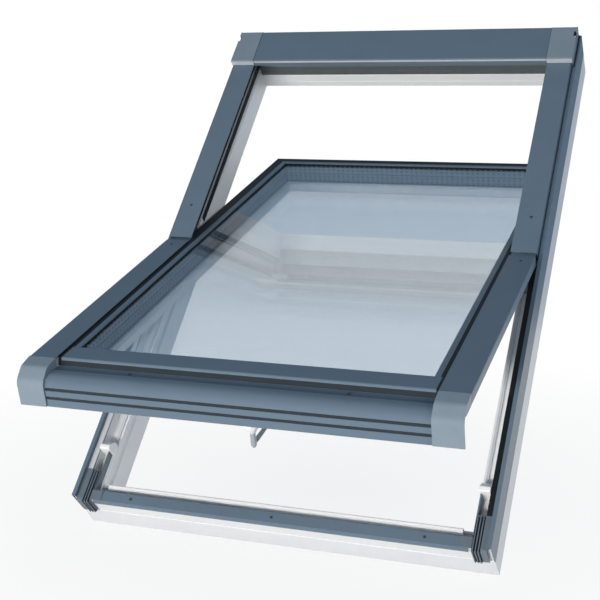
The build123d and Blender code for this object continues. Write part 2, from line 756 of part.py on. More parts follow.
def lock_case():
    """Steel box in the bottom rail, open at its edge for the bolt."""
    case = lock_case_box() - bolt_box(BOLT_GAP, BOLT_LENGTH + BOLT_SETBACK + BOLT_GAP, -BOLT_SETBACK - BOLT_GAP)
    return case - spindle_hole()


def bolt_box(gap, length, setback):
    """Bar of the lock bolt, from a setback inside the rail's edge."""
    half_x = BOLT_WIDTH / 2 + gap
    half_z = bolt_thickness() / 2 + gap
    start = -SASH_HALF_HEIGHT + setback
    middle = -bolt_drop()
    return block((-half_x, half_x), (start, start + length - setback), (middle - half_z, middle + half_z))


def lock_bolt():
    bolt = bolt_box(0, BOLT_LENGTH + BOLT_SETBACK, BOLT_SETBACK)
    nose = bolt.edges().filter_by(Axis.X).group_by(Axis.Y)[0]
    return chamfer(nose, LOCK_CASE_WALL)


def sash_gasket():
    """Weather seal on the sash's outer wall, along both stiles and the top rail, narrower beside the glazing bar."""
    loop = ring(
        SASH_HALF_WIDTH, SASH_HALF_HEIGHT, SASH_GASKET_START, SASH_GASKET_END, -SASH_TOP_DROP, -SASH_GASKET_DROP
    )
    half = SASH_HALF_WIDTH - SASH_GASKET_END
    loop -= block((-half, half), (-HALF_HEIGHT, 0), (-SASH_BACK_DROP, OVERRUN))
    return loop - block((-BAR_END, BAR_END), (-HALF_HEIGHT, -BAR_TOP), (-SASH_BACK_DROP, OVERRUN))


def pane(index):
    top = -GLASS_DROP - index * (PANE + PANE_SPACE)
    half_x = SASH_HALF_WIDTH - GLASS_EDGE
    half_y = SASH_HALF_HEIGHT - GLASS_EDGE
    return block((-half_x, half_x), (-half_y, half_y), (top - PANE, top))


def spacer(index):
    top = -GLASS_DROP - PANE - index * (PANE + PANE_SPACE)
    return ring(SASH_HALF_WIDTH, SASH_HALF_HEIGHT, SPACER_START, SPACER_END, top - PANE_SPACE, top)


def glazing_gasket():
    """Outer seal between the strips and the glass, and the seat tape under the inner pane."""
    outer = ring(SASH_HALF_WIDTH, SASH_HALF_HEIGHT, GLASS_EDGE, SPACER_END, -GLASS_DROP, -SASH_TOP_DROP)
    tape_top = -SEAT_DROP + SEAT_TAPE
    tape = ring(SASH_HALF_WIDTH, SASH_HALF_HEIGHT, GLASS_EDGE, SPACER_END, -SEAT_DROP, tape_top)
    return [outer, tape]


def glazing_strip(side):
    """Aluminium strip over the glass edge; the side strips stop at the bottom rail's glazing bar."""
    section = outline([
        (SASH_GASKET_END, -SASH_TOP_DROP),
        (STRIP_END, -SASH_TOP_DROP),
        (STRIP_END, -STRIP_DROP - SHEET),
        (STRIP_END - SHEET, -STRIP_DROP),
        (SASH_GASKET_END, -STRIP_DROP),
    ])
    strip = mitred(section, side, SASH_HALF_WIDTH, SASH_HALF_HEIGHT, SASH_RAIL)
    if side in HANDS:
        strip -= block(
            (-HALF_WIDTH, HALF_WIDTH), (-HALF_HEIGHT, -BAR_TOP), (-SASH_BACK_DROP, OVERRUN)
        )
    return strip


def bottom_rail_cover():
    """Extruded cover: glazing bar, screw recess, rolled nose and a grooved front."""
    half = RAIL_COVER_SHEET / 2
    front = -RAIL_FRONT + half
    recess_end = RECESS_START + RECESS_LENGTH
    path = [
        (-BAR_TOP, -STRIP_DROP - half),
        (-BAR_BOTTOM, -STRIP_DROP - half),
        (-RECESS_START, -RECESS_DROP - half),
        (-recess_end, -RECESS_DROP - half),
        (-recess_end - ROLL_LIP_RUN, -ROLL_TOP_DROP - half),
        (front, -ROLL_TOP_DROP - half),
        (front, -RAIL_FRONT_DROP + half),
        (front + RAIL_RETURN, -RAIL_FRONT_DROP + half),
    ]
    bends = (RAIL_BEND, RAIL_BEND, RAIL_BEND, RAIL_BEND, ROLL_RADIUS, RAIL_BEND)
    section = folded(path, bends, RAIL_COVER_SHEET)
    for drop in FRONT_GROOVE_DROPS:
        section -= outline([
            (-RAIL_FRONT - OVERRUN, -drop - FRONT_GROOVE_WIDTH / 2),
            (-RAIL_FRONT + FRONT_GROOVE_DEPTH, -drop - FRONT_GROOVE_WIDTH / 2),
            (-RAIL_FRONT + FRONT_GROOVE_DEPTH, -drop + FRONT_GROOVE_WIDTH / 2),
            (-RAIL_FRONT - OVERRUN, -drop + FRONT_GROOVE_WIDTH / 2),
        ])
    cover = along_x(section, -RAIL_COVER_HALF_LENGTH, RAIL_COVER_HALF_LENGTH)
    for sign in HANDS.values():
        cover -= screw_hole(sign * RECESS_SCREW_HALF_PITCH, -RECESS_SCREW_PLACE, -RECESS_DROP)
        cover -= block(
            (sign * BAR_END, sign * HALF_WIDTH),
            (-RECESS_START - RAIL_COVER_SHEET, -BAR_TOP + OVERRUN),
            (-SASH_BACK_DROP, OVERRUN),
        )
    return cover


def bottom_cover_screws():
    return [
        screw(sign * RECESS_SCREW_HALF_PITCH, -RECESS_SCREW_PLACE, -RECESS_DROP)
        for sign in HANDS.values()
    ]


def arc_sector(inner, outer, start_angle, arc):
    """Curved bar about the pivot axis, drawn in y and z; angles fall from the upslope side."""
    band = Circle(outer) - Circle(inner)
    half_angle = arc / 2
    middle = -(start_angle + half_angle)
    spread = 2 * outer
    edge_share = 1 / 2
    wedge = outline([
        (0, 0),
        Vector(spread, 0).rotate(Axis.Z, middle - half_angle),
        Vector(spread, 0).rotate(Axis.Z, middle - half_angle * edge_share),
        Vector(spread, 0).rotate(Axis.Z, middle + half_angle * edge_share),
        Vector(spread, 0).rotate(Axis.Z, middle + half_angle),
    ])
    return band & wedge


def pivot_plate(hand):
    """Hinge block on the jamb's ledge with a curved track about the pivot axis."""
    half = PIVOT_PLATE_LENGTH / 2
    body = block((REVEAL_X, STEP_X), (-half, half), (-LEDGE_DROP, -PIVOT_PLATE_DROP))
    seal_room = block(
        (HALF_WIDTH - GROOVE_START - GROOVE_WIDTH, HALF_WIDTH - GROOVE_START),
        (-half, half),
        (-LEDGE_DROP, -LEDGE_DROP + GASKET_RISE),
    )
    band = Circle(TRACK_OUTER_RADIUS) - Circle(TRACK_INNER_RADIUS)
    track = along_x(band, REVEAL_X - OVERRUN, REVEAL_X + TRACK_DEPTH)
    return on_hand(body - track - seal_room, hand)


def pivot_arm(hand):
    """Curved tongue of the hinge on its fixing plate, on the side of the sash stile."""
    tongue = along_x(
        arc_sector(
            TRACK_INNER_RADIUS + TRACK_CLEARANCE,
            TRACK_OUTER_RADIUS - TRACK_CLEARANCE,
            TONGUE_START_ANGLE,
            TONGUE_ARC,
        ),
        SASH_HALF_WIDTH,
        REVEAL_X + TRACK_DEPTH - ARM_RELIEF,
    )
    plate = block(
        (SASH_HALF_WIDTH, SASH_HALF_WIDTH + ARM_PLATE),
        (0, ARM_PLATE_LENGTH),
        (-ARM_PLATE_BACK_DROP, -ARM_PLATE_TOP_DROP),
    )
    return on_hand(tongue + plate, hand)


def handle_base():
    """Oval rosette with a flared round neck, on the room side of the bottom rail."""
    rosette = extrude(SlotOverall(ROSETTE_LENGTH, ROSETTE_WIDTH), ROSETTE_HEIGHT)
    rosette = chamfer(rosette.edges().group_by(Axis.Z)[-1], ROSETTE_CHAMFER)
    neck_profile = outline([
        (0, 0),
        (NECK_FLARE_RADIUS, 0),
        (NECK_WAIST_RADIUS, NECK_FLARE_HEIGHT),
        (NECK_WAIST_RADIUS, NECK_HEIGHT),
        (0, NECK_HEIGHT),
    ])
    neck = Pos(0, 0, ROSETTE_HEIGHT) * revolve(Plane.XZ * neck_profile, Axis.Z)
    base = Pos(0, -HANDLE_PLACE, -SASH_BACK_DROP) * (Rot(X=180) * (rosette + neck))
    return base - spindle_hole()


def lever_top_drop():
    return SASH_BACK_DROP + ROSETTE_HEIGHT + NECK_HEIGHT + LEVER_GAP


def handle_lever():
    """Tapered lever on a round hub, pointing up the slope when the sash is unlocked."""
    hub = Cylinder(LEVER_HUB_RADIUS, LEVER_HUB_HEIGHT, align=(Align.CENTER, Align.CENTER, Align.MAX))
    plan = outline([
        (-LEVER_ROOT_WIDTH / 2, 0),
        (LEVER_ROOT_WIDTH / 2, 0),
        (LEVER_TIP_WIDTH / 2, LEVER_LENGTH),
        (-LEVER_TIP_WIDTH / 2, LEVER_LENGTH),
    ])
    arm = Pos(0, 0, -LEVER_HUB_HEIGHT) * extrude(plan, LEVER_THICKNESS)
    arm = fillet(arm.edges().filter_by(Axis.Z).group_by(Axis.Y)[-1], LEVER_TIP_RADIUS)
    arm = chamfer(arm.edges().group_by(Axis.Z)[0] + arm.edges().group_by(Axis.Z)[-1], LEVER_EDGE_CHAMFER)
    socket = Cylinder(
        (SPINDLE_SIDE / 2) * 2 ** 0.5, SPINDLE_HUB_DEPTH, align=(Align.CENTER, Align.CENTER, Align.MAX)
    )
    return Pos(0, -HANDLE_PLACE, -lever_top_drop()) * (hub + arm - socket)


def handle_spindle():
    """Square spindle from the lever's hub up to the lock case."""
    low = -lever_top_drop() - SPINDLE_HUB_DEPTH
    high = -LOCK_CASE_BACK_DROP + LOCK_CASE_WALL - SPINDLE_GAP
    half = SPINDLE_SIDE / 2
    return block((-half, half), (-HANDLE_PLACE - half, -HANDLE_PLACE + half), (low, high))


def fixed_nodes():
    nodes = dict(frame_rails())
    for hand in HANDS:
        nodes["jamb_cladding_" + hand] = jamb_cladding(hand)
        nodes["corner_cover_" + hand] = corner_cover(hand)
        nodes["guide_block_" + hand] = guide_block(hand)
        nodes["hood_end_cap_" + hand] = hood_end_cap(hand)
        nodes["upper_cover_" + hand] = upper_cover(hand)
        nodes["pivot_plate_" + hand] = pivot_plate(hand)
        nodes["channel_seal_" + hand] = channel_seal(hand)
    nodes["sill_cladding"] = sill_cladding()
    nodes["sill_screws"] = sill_screws()
    nodes["upper_cover_screws"] = cover_screws(UPPER_SCREW_PLACE)
    nodes["hood"] = hood()
    nodes["frame_gasket"] = frame_gasket()
    nodes["sill_seal"] = sill_seal()
    nodes["keeper"] = keeper()
    return nodes


def sash_nodes():
    nodes = dict(sash_rails())
    for hand in HANDS:
        nodes["lower_cover_" + hand] = lower_cover(hand)
        nodes["lower_cap_" + hand] = lower_cap(hand)
        nodes["pivot_arm_" + hand] = pivot_arm(hand)
        nodes["glazing_strip_" + hand] = glazing_strip(hand)
    nodes["glazing_strip_top"] = glazing_strip("top")
    for index, name in enumerate(("outer", "middle", "inner")):
        nodes["glass_" + name] = pane(index)
    for index, name in enumerate(("outer", "inner")):
        nodes["spacer_" + name] = spacer(index)
    nodes["glazing_gasket"] = glazing_gasket()
    nodes["sash_gasket"] = sash_gasket()
    nodes["bottom_rail_cover"] = bottom_rail_cover()
    nodes["bottom_cover_screws"] = bottom_cover_screws()
    nodes["lower_cover_screws"] = cover_screws(-LOWER_SCREW_PLACE)
    nodes["lock_case"] = lock_case()
    nodes["lock_bolt"] = lock_bolt()
    nodes["handle_base"] = handle_base()
    nodes["handle_lever"] = handle_lever()
    nodes["handle_spindle"] = handle_spindle()
    return nodes


def save(name, piece, place):
    if isinstance(piece, list):
        shape = Compound([place * solid.solid() for solid in piece])
    else:
        shape = place * piece
    shape.label = name
    export_step(shape, os.path.join("parts", name + ".step"))


os.makedirs("parts", exist_ok=True)
for node, piece in fixed_nodes().items():
    save(node, piece, frame_place)
for node, piece in sash_nodes().items():
    save(node, piece, sash_place)
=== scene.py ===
# %% [markdown]
# A centre-pivot roof window, dressed and lit. Its solids arrive as a fixed frame, already in place, in
# metres. This lesson gives them their finishes, adds the fine pieces that solids leave out, and sets light
# and camera.

# %% Load the frame
import json
import math

import bmesh
import bpy
from mathutils import Matrix, Vector


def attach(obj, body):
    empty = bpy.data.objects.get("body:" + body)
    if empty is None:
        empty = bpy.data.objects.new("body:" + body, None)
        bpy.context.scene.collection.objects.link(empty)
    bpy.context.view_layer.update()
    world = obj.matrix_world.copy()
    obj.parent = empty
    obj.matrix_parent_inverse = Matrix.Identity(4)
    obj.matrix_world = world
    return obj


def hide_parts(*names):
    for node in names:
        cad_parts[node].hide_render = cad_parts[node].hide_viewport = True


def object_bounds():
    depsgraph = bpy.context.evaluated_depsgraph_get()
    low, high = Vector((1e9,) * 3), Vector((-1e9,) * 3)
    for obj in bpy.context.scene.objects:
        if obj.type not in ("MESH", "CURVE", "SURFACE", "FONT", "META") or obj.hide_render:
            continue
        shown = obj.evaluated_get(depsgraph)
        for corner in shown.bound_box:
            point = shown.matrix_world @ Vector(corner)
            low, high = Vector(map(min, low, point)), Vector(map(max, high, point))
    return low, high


MM = 0.001
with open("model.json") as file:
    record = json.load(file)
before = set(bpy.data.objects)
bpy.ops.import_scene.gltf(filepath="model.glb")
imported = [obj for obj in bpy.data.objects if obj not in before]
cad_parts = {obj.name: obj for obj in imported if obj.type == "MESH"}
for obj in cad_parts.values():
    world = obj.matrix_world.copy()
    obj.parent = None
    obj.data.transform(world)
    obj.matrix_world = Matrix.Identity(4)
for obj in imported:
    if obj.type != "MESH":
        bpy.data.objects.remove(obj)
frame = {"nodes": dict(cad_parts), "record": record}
cad_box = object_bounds()
nodes = frame["nodes"]

# %% [markdown]
# The window lies at a slope, so places on it are easiest to give along its own axes: x across, y up the
# slope and z outward. Each piece could be turned by hand, but one matrix for the fixed frame, and another
# for the sash that is tilted open, turn all of them alike. The handle hangs on the sash and shares its
# slope.

# %% Two slopes
ROOF_PITCH = math.radians(45.0)
REST_OPENING = math.radians(31.0)
frame_slope = Matrix.Rotation(ROOF_PITCH, 4, "X")
sash_slope = Matrix.Rotation(ROOF_PITCH - REST_OPENING, 4, "X")
slopes = {"frame": frame_slope, "sash": sash_slope, "handle": sash_slope}


def slope_box(node, body):
    """Lowest and highest corner of a node along the axes of a body's slope, in millimetres."""
    back = slopes[body].inverted()
    points = [back @ v.co for v in nodes[node].data.vertices]
    low = [min(p[i] for p in points) / MM for i in range(3)]
    high = [max(p[i] for p in points) / MM for i in range(3)]
    return low, high


stile_low, stile_high = slope_box("sash_left_stile", "sash")
print("stile, mm:", [round(v, 1) for v in stile_low], [round(v, 1) for v in stile_high])

# %% [markdown]
# Colours are written as they look on a screen, in sRGB hex. Shaders work in linear light, so one function
# turns the first to the second. Another adds a node: in its settings a socket is linked, and any other
# value is set.

# %% Colour and node helpers


def linear(hex_colour):
    """Linear RGBA of an sRGB hex colour."""
    values = [int(hex_colour[i:i + 2], 16) / 255 for i in (1, 3, 5)]
    return [v / 12.92 if v <= 0.04045 else ((v + 0.055) / 1.055) ** 2.4 for v in values] + [1.0]


def set_up(tree, node, settings):
    """Set a node's properties and inputs, by name or number; a socket is linked to its input."""
    for key, value in settings.items():
        if isinstance(value, bpy.types.NodeSocket):
            tree.links.new(value, node.inputs[key])
        elif isinstance(key, str) and hasattr(node, key):
            setattr(node, key, value)
        else:
            node.inputs[key].default_value = value
    return node


def add_node(tree, kind, settings=None):
    """A new node with its settings and links."""
    return set_up(tree, tree.nodes.new(kind), settings or {})


def new_finish(name):
    """New node material, with its tree, shader and object coordinates."""
    material = bpy.data.materials.new(name)
    material.use_nodes = True
    tree = material.node_tree
    shader = tree.nodes["Principled BSDF"]
    place = add_node(tree, "ShaderNodeTexCoord").outputs["Object"]
    return material, tree, shader, place


def per_metre(size_mm):
    """Texture scale whose pattern repeats about every size_mm."""
    return 1 / (size_mm * MM)


print("white is", linear("#FFFFFF"))

# %% [markdown]
# Most finishes here are one colour with a faint unevenness: lacquer with its orange peel, moulded plastic
# with its grain, extruded profile with its satin skin. Each could be a plain colour, but flat faces this
# large would then look like paper. One function makes the family: a noise tints the colour between two
# close values, and a finer noise gives a shallow bump.

# %% Satin finish
MOTTLE_DETAIL = 3.0
GRAIN_DETAIL = 2.0


def satin(name, shade, light, roughness, mottle_mm, grain_mm, bump, **settings):
    """One-colour finish with a faint mottle in its colour and a fine grain in its surface."""
    material, tree, shader, place = new_finish(name)
    mottle_look = {"Scale": per_metre(mottle_mm), "Detail": MOTTLE_DETAIL, "Vector": place}
    mottle = add_node(tree, "ShaderNodeTexNoise", mottle_look)
    ramp = add_node(tree, "ShaderNodeValToRGB", {"Fac": mottle.outputs["Fac"]})
    for stop, colour in zip(ramp.color_ramp.elements, (shade, light)):
        stop.color = linear(colour)
    grain_look = {"Scale": per_metre(grain_mm), "Detail": GRAIN_DETAIL, "Vector": place}
    grain = add_node(tree, "ShaderNodeTexNoise", grain_look)
    relief_look = {"Strength": bump, "Distance": grain_mm * MM, "Height": grain.outputs["Fac"]}
    relief = add_node(tree, "ShaderNodeBump", relief_look)
    set_up(tree, shader, {"Base Color": ramp.outputs["Color"], "Normal": relief.outputs["Normal"]})
    set_up(tree, shader, {"Roughness": roughness, **settings})
    return material


# Polyester powder lacquer on aluminium: blue-grey, satin, with a slight orange peel.
lacquer = satin("satin lacquered aluminium", "#586A7A", "#607282", roughness=0.38,
                mottle_mm=60, grain_mm=1.2, bump=0.03, IOR=1.5)
print("first finish:", lacquer.name)

# %% [markdown]
# The plastics come out of a mould or an extruder, so their colour goes all through and their skin is
# smooth. They share the usual IOR of such plastics and differ in colour, in gloss and in how fine the grain
# is.

# %% Plastics
# Moulded ABS dyed to match the lacquer, a little greyer and paler.
cap_plastic = satin("moulded grey ABS", "#73828F", "#7E8D99", roughness=0.36,
                    mottle_mm=40, grain_mm=0.8, bump=0.05, IOR=1.53)
# Glass-filled nylon of the ribbed corner covers: slate grey and duller. The head's soffit strip uses it
# too, to paint the shade under the hood.
slate_and_soffit_shade = satin("slate nylon and painted soffit shade", "#5B6771", "#66727D", roughness=0.5,
                       mottle_mm=30, grain_mm=0.8, bump=0.05, IOR=1.53)
# White extruded PVC: bright, smooth, satin, with a faint cool cast.
pvc = satin("white extruded PVC", "#DFE2E4", "#E6E8EA", roughness=0.35,
            mottle_mm=80, grain_mm=2.0, bump=0.02, IOR=1.53)
# White moulded nylon of the guides and the handle's neck.
white_nylon = satin("moulded white nylon", "#E6E8E9", "#EFF0F0", roughness=0.4,
                    mottle_mm=30, grain_mm=0.8, bump=0.03, IOR=1.53)
print("plastics:", [m.name for m in (cap_plastic, slate_and_soffit_shade, pvc, white_nylon)])

# %% [markdown]
# The seals are extruded rubber, dull because their skin is slightly rough. Most are black; those that lie
# in the light or against white profile are pigmented, and each of them gets a finish of its own. Some of
# these greys also paint shade or a reflection, as said beside each.

# %% Rubbers
# EPDM rubber seals: near black and dull.
rubber = satin("black EPDM rubber", "#0D0E10", "#17191C", roughness=0.7,
               mottle_mm=15, grain_mm=0.6, bump=0.08, IOR=1.52)
# Softer EPDM in a dark grey, for the hood's seams and for strips that paint the shadow lines of the metal
# beside them, under the glazing bar and in the rail's grooves.
dark_seal_and_shadow_line = satin("dark grey EPDM and painted shadow lines", "#1C2329", "#252D34", roughness=0.6,
                  mottle_mm=15, grain_mm=0.6, bump=0.05, IOR=1.52)
# Foamed EPDM of the head seal, a middle grey that also paints the shade under the hood.
head_seal_and_shade = satin("EPDM foam with painted shade", "#4E5458", "#5A6064", roughness=0.7,
                  mottle_mm=15, grain_mm=0.8, bump=0.08, IOR=1.5)
# Pale TPE seals of the lower half, a soft grey beside the white profile; in the jamb channels this pale
# grey also paints a white reflection.
pale_seal_and_reflection = satin("pale grey TPE and painted reflection", "#B9BFC4", "#C6CBCF", roughness=0.6,
                    mottle_mm=15, grain_mm=0.6, bump=0.05, IOR=1.5)
print("rubbers:", [m.name for m in (rubber, dark_seal_and_shadow_line, head_seal_and_shade, pale_seal_and_reflection)])

# %% [markdown]
# Bare metal mirrors in its own colour, and a lacquer or an oxide layer over it scatters part of the light.
# The metallic value says how much of the mirror is left.

# %% Metals
# Zinc-plated steel of the hinges and lock.
zinc = satin("zinc plated steel", "#9DA3A8", "#B3B8BC", roughness=0.35,
             mottle_mm=12, grain_mm=0.5, bump=0.04, Metallic=1.0)
# Slate lacquered screw heads, round their dark sockets.
screw_steel = satin("dark lacquered steel", "#434E57", "#4F5A63", roughness=0.4,
                    mottle_mm=6, grain_mm=0.5, bump=0.03, IOR=1.5)
# Die-cast lever under a silver-grey lacquer with metal flakes, so only partly mirror-like.
cast_metal = satin("silver lacquered die-cast", "#9CA4AB", "#AEB5BB", roughness=0.4,
                   mottle_mm=10, grain_mm=0.4, bump=0.03, Metallic=0.5)
# Pale, matt metal that paints the highlight on the hood's lip: paler than the lacquer, and it hardly
# mirrors.
lip_highlight_metal = satin("pale metal with painted highlight", "#BFC6CC", "#CBD1D6", roughness=0.45,
                   mottle_mm=20, grain_mm=0.5, bump=0.03, Metallic=0.2)
print("metals:", [m.name for m in (zinc, screw_steel, cast_metal, lip_highlight_metal)])

# %% [markdown]
# The spacer between two panes is a folded aluminium strip with rows of small holes over its drying agent.
# The holes are too many to model, so the finish draws them. Along a side bar only y changes and along a top
# bar only x, so x plus y counts the pitch on both, and z counts the rows. The dots are drawn coarser than
# the real ones, which would be too fine to show.

# %% Perforated spacer
DOT_PITCH = 12.0
ROW_PITCH = 9.0
DOT_RADIUS_SHARE = 0.24
CELL_MIDDLE = (0.5, 0.5, 0.0)
spacer_metal, tree, shader, place = new_finish("perforated lacquered spacer")
to_sash = (REST_OPENING - ROOF_PITCH, 0, 0)
turn = add_node(tree, "ShaderNodeMapping", {"Rotation": to_sash, "Vector": place})
axes = add_node(tree, "ShaderNodeSeparateXYZ", {"Vector": turn.outputs["Vector"]}).outputs
along = add_node(tree, "ShaderNodeMath", {"operation": "ADD", 0: axes["X"], 1: axes["Y"]})
spot = add_node(tree, "ShaderNodeCombineXYZ", {"X": along.outputs["Value"], "Y": axes["Z"]})
pitches = (per_metre(DOT_PITCH), per_metre(ROW_PITCH), 1)
vector_steps = (("MULTIPLY", pitches), ("FRACTION", None), ("DISTANCE", CELL_MIDDLE))
last = spot.outputs["Vector"]
for operation, value in vector_steps:
    settings = {"operation": operation, 0: last}
    if value is not None:
        settings[1] = value
    step = add_node(tree, "ShaderNodeVectorMath", settings)
    last = step.outputs["Value" if operation == "DISTANCE" else "Vector"]
dot = add_node(tree, "ShaderNodeMath", {"operation": "LESS_THAN", 0: last, 1: DOT_RADIUS_SHARE})
# A Mix node counts its inputs over all data types: 6 and 7 are its two colours.
dot_colours = {"data_type": "RGBA", 0: dot.outputs["Value"], 6: linear("#4C5D6C"), 7: linear("#1A222A")}
dots = add_node(tree, "ShaderNodeMix", dot_colours)
set_up(tree, shader, {"Base Color": dots.outputs[2], "Roughness": 0.5})
print("spacer holes every", DOT_PITCH, "mm")

# %% [markdown]
# Float glass is clear, with a faint cool cast that shows where three panes lie over each other. A mix of
# clear and mirror would do for one thin pane, but a full glass shader keeps what each pane mirrors inside
# of the unit too. A very slight waviness keeps the mirror images from being perfect.

# %% Float glass
GLASS_WAVE = 220.0
WAVE_DETAIL = 1.0
WAVE_STRENGTH = 0.02
glass, tree, shader, place = new_finish("clear float glass")
wave_look = {"Scale": per_metre(GLASS_WAVE), "Detail": WAVE_DETAIL, "Vector": place}
wave = add_node(tree, "ShaderNodeTexNoise", wave_look)
ripple_look = {"Strength": WAVE_STRENGTH, "Distance": MM, "Height": wave.outputs["Fac"]}
ripple = add_node(tree, "ShaderNodeBump", ripple_look)
set_up(tree, shader, {"Normal": ripple.outputs["Normal"], "Base Color": linear("#F5F8FA")})
set_up(tree, shader, {"Transmission Weight": 1.0, "Roughness": 0.0, "IOR": 1.45})
print("glass waves about", GLASS_WAVE, "mm long")

# %% [markdown]
# Each solid gets its finish by the slot that the record names. A solid keeps its shape and place; only its
# material changes. Clear panes hardly dim a lamp, so they cast no shadow here, and the profiles under them
# are lit.

# %% Dress the solids
finish_of_slot = {
    "white_pvc": pvc,
    "moulded_white": white_nylon,
    "lacquered_aluminium": lacquer,
    "grey_end_caps": cap_plastic,
    "corner_covers": slate_and_soffit_shade,
    "black_rubber": rubber,
    # The pale seals' grey also paints a white reflection in the jamb channels.
    "grey_rubber": pale_seal_and_reflection,
    "clear_glass": glass,
    "spacer_bars": spacer_metal,
    "zinc_steel": zinc,
    "dark_screws": screw_steel,
    "handle_metal": cast_metal,
}
slot_of_node = {entry["node"]: entry["material_slot"] for entry in frame["record"]["subparts"]}
for name, node in nodes.items():
    node.data.materials.clear()
    node.data.materials.append(finish_of_slot[slot_of_node[name]])
    if slot_of_node[name] == "clear_glass":
        node.visible_shadow = False
print("dressed", len(slot_of_node), "solids")

# %% [markdown]
# The seals, beads and trims of a window are extrusions: one section, run along a groove or an edge. A curve
# with a bevel profile could give them too, but a short mesh function keeps each corner where it is asked
# for. It takes a section in millimetres, runs it along x, y or z and softens its edges. A second function,
# which the handle uses too, turns the mesh to the slope of its body and lets it ride there.

# %% Extruded trims
TRIM_EDGE = 0.25
EDGE_SEGMENTS = 2
HANDS = {"left": -1, "right": 1}
spot_along = {
    "x": lambda run, a, b: (run, a, b),
    "y": lambda run, a, b: (a, run, b),
    "z": lambda run, a, b: (a, b, run),
}


def add_piece(name, mesh, body, finish):
    """Piece from a mesh along the window's own axes, riding on a body."""
    bmesh.ops.transform(mesh, matrix=slopes[body], verts=mesh.verts)
    data = bpy.data.meshes.new(name)
    mesh.to_mesh(data)
    mesh.free()
    data.materials.append(finish)
    piece = bpy.data.objects.new(name, data)
    bpy.context.collection.objects.link(piece)
    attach(piece, body)
    return piece


def trim(name, section, span, along, body, finish):
    """Extrusion of a section in mm along one of the window's own axes, with softened edges."""
    mesh = bmesh.new()
    ends = []
    for run in span:
        spots = [Vector(spot_along[along](run, a, b)) * MM for a, b in section]
        ends.append([mesh.verts.new(spot) for spot in spots])
        mesh.faces.new(ends[-1])
    for i in range(len(section)):
        mesh.faces.new((ends[0][i - 1], ends[0][i], ends[1][i], ends[1][i - 1]))
    bmesh.ops.recalc_face_normals(mesh, faces=mesh.faces)
    bmesh.ops.bevel(
        mesh,
        geom=mesh.edges[:],
        offset=TRIM_EDGE * MM,
        segments=EDGE_SEGMENTS,
        affect="EDGES",
        clamp_overlap=True,
    )
    add_piece(name, mesh, body, finish)


def block_section(a, b):
    """Rectangle in mm between two values of each of its axes."""
    return [(a[0], b[0]), (a[0], b[1]), (a[1], b[1]), (a[1], b[0])]


print("trims ride on", sorted(slopes))

# %% [markdown]
# Under the hood the head carries a slate strip, which paints the shade on the soffit, and a grey weather
# seal with a soft groove along its middle, whose grey also paints the shade under the hood. They could be
# cut into the profile, but as pieces of their own they keep their own finishes. Both stay clear of the
# closed sash, which passes a few millimetres away.

# %% Head shade strip and seal
LEDGE = -47.0
SINK = 0.1
SOFFIT_DEPTH = 11.0
HEAD_SEAL_DEPTH = 26.0
HEAD_SEAL_PROUD = 2.8
SEAL_CHAMFER = 1.0
SEAL_GROOVE_HALF = 2.0
head_low, _ = slope_box("frame_head", "frame")
jamb_low, _ = slope_box("frame_right_jamb", "frame")
reveal_y = head_low[1]
reveal_x = jamb_low[0]
head_run = (-reveal_x, reveal_x)
seal_root = reveal_y + SINK
seal_face = reveal_y - HEAD_SEAL_PROUD
seal_start = LEDGE - SOFFIT_DEPTH
seal_end = seal_start - HEAD_SEAL_DEPTH
seal_middle = seal_start - HEAD_SEAL_DEPTH / 2
soffit_section = [
    (seal_root, LEDGE),
    (seal_face, LEDGE - SEAL_CHAMFER),
    (seal_face, seal_start),
    (seal_root, seal_start),
]
# Slate strip that paints the shade on the soffit under the hood.
trim("head_soffit_shade", soffit_section, head_run, "x", "frame", slate_and_soffit_shade)
seal_section = [
    (seal_root, seal_start),
    (seal_face, seal_start - SEAL_CHAMFER),
    (seal_face, seal_middle + SEAL_GROOVE_HALF),
    (reveal_y - HEAD_SEAL_PROUD / 2, seal_middle),
    (seal_face, seal_middle - SEAL_GROOVE_HALF),
    (seal_face, seal_end + SEAL_CHAMFER),
    (seal_root, seal_end),
]
# Grey seal whose colour also paints the shade under the hood.
trim("head_seal", seal_section, head_run, "x", "frame", head_seal_and_shade)
print("head seal", HEAD_SEAL_DEPTH, "mm deep at y", round(reveal_y, 1))

# %% [markdown]
# Fine beads on the white reveals hide the seam of the lining, two on the head and two on each jamb. Beside
# the upper covers the jambs also have a narrow black seal of the same form. A bump could draw the beads,
# but it would not show in the outline. On the jambs all of it stops short of the pivot, where the hinge's
# tongue swings past.

# %% Reveal beads and jamb seals
BEAD_WIDTH = 3.0
BEAD_PROUD = 1.6
HEAD_BEADS = (-88.0, -108.0)
JAMB_BEADS = (-64.0, -70.0)
JAMB_SEAL_DEPTH = 13.0
JAMB_SEAL_PROUD = 2.0
PIVOT_CLEAR = 90.0


def ridge_section(wall, inward, top, foot, proud, chamfer):
    """Section in mm of a ridge that stands proud of a wall, with both of its shoulders cut back."""
    root = wall - inward * SINK
    face = wall + inward * proud
    return [(root, top), (face, top - chamfer), (face, foot + chamfer), (root, foot)]


def bead_section(wall, inward, drop):
    """Section in mm of a fine bead on a wall."""
    half = BEAD_WIDTH / 2
    return ridge_section(wall, inward, drop + half, drop - half, BEAD_PROUD, half / 2)


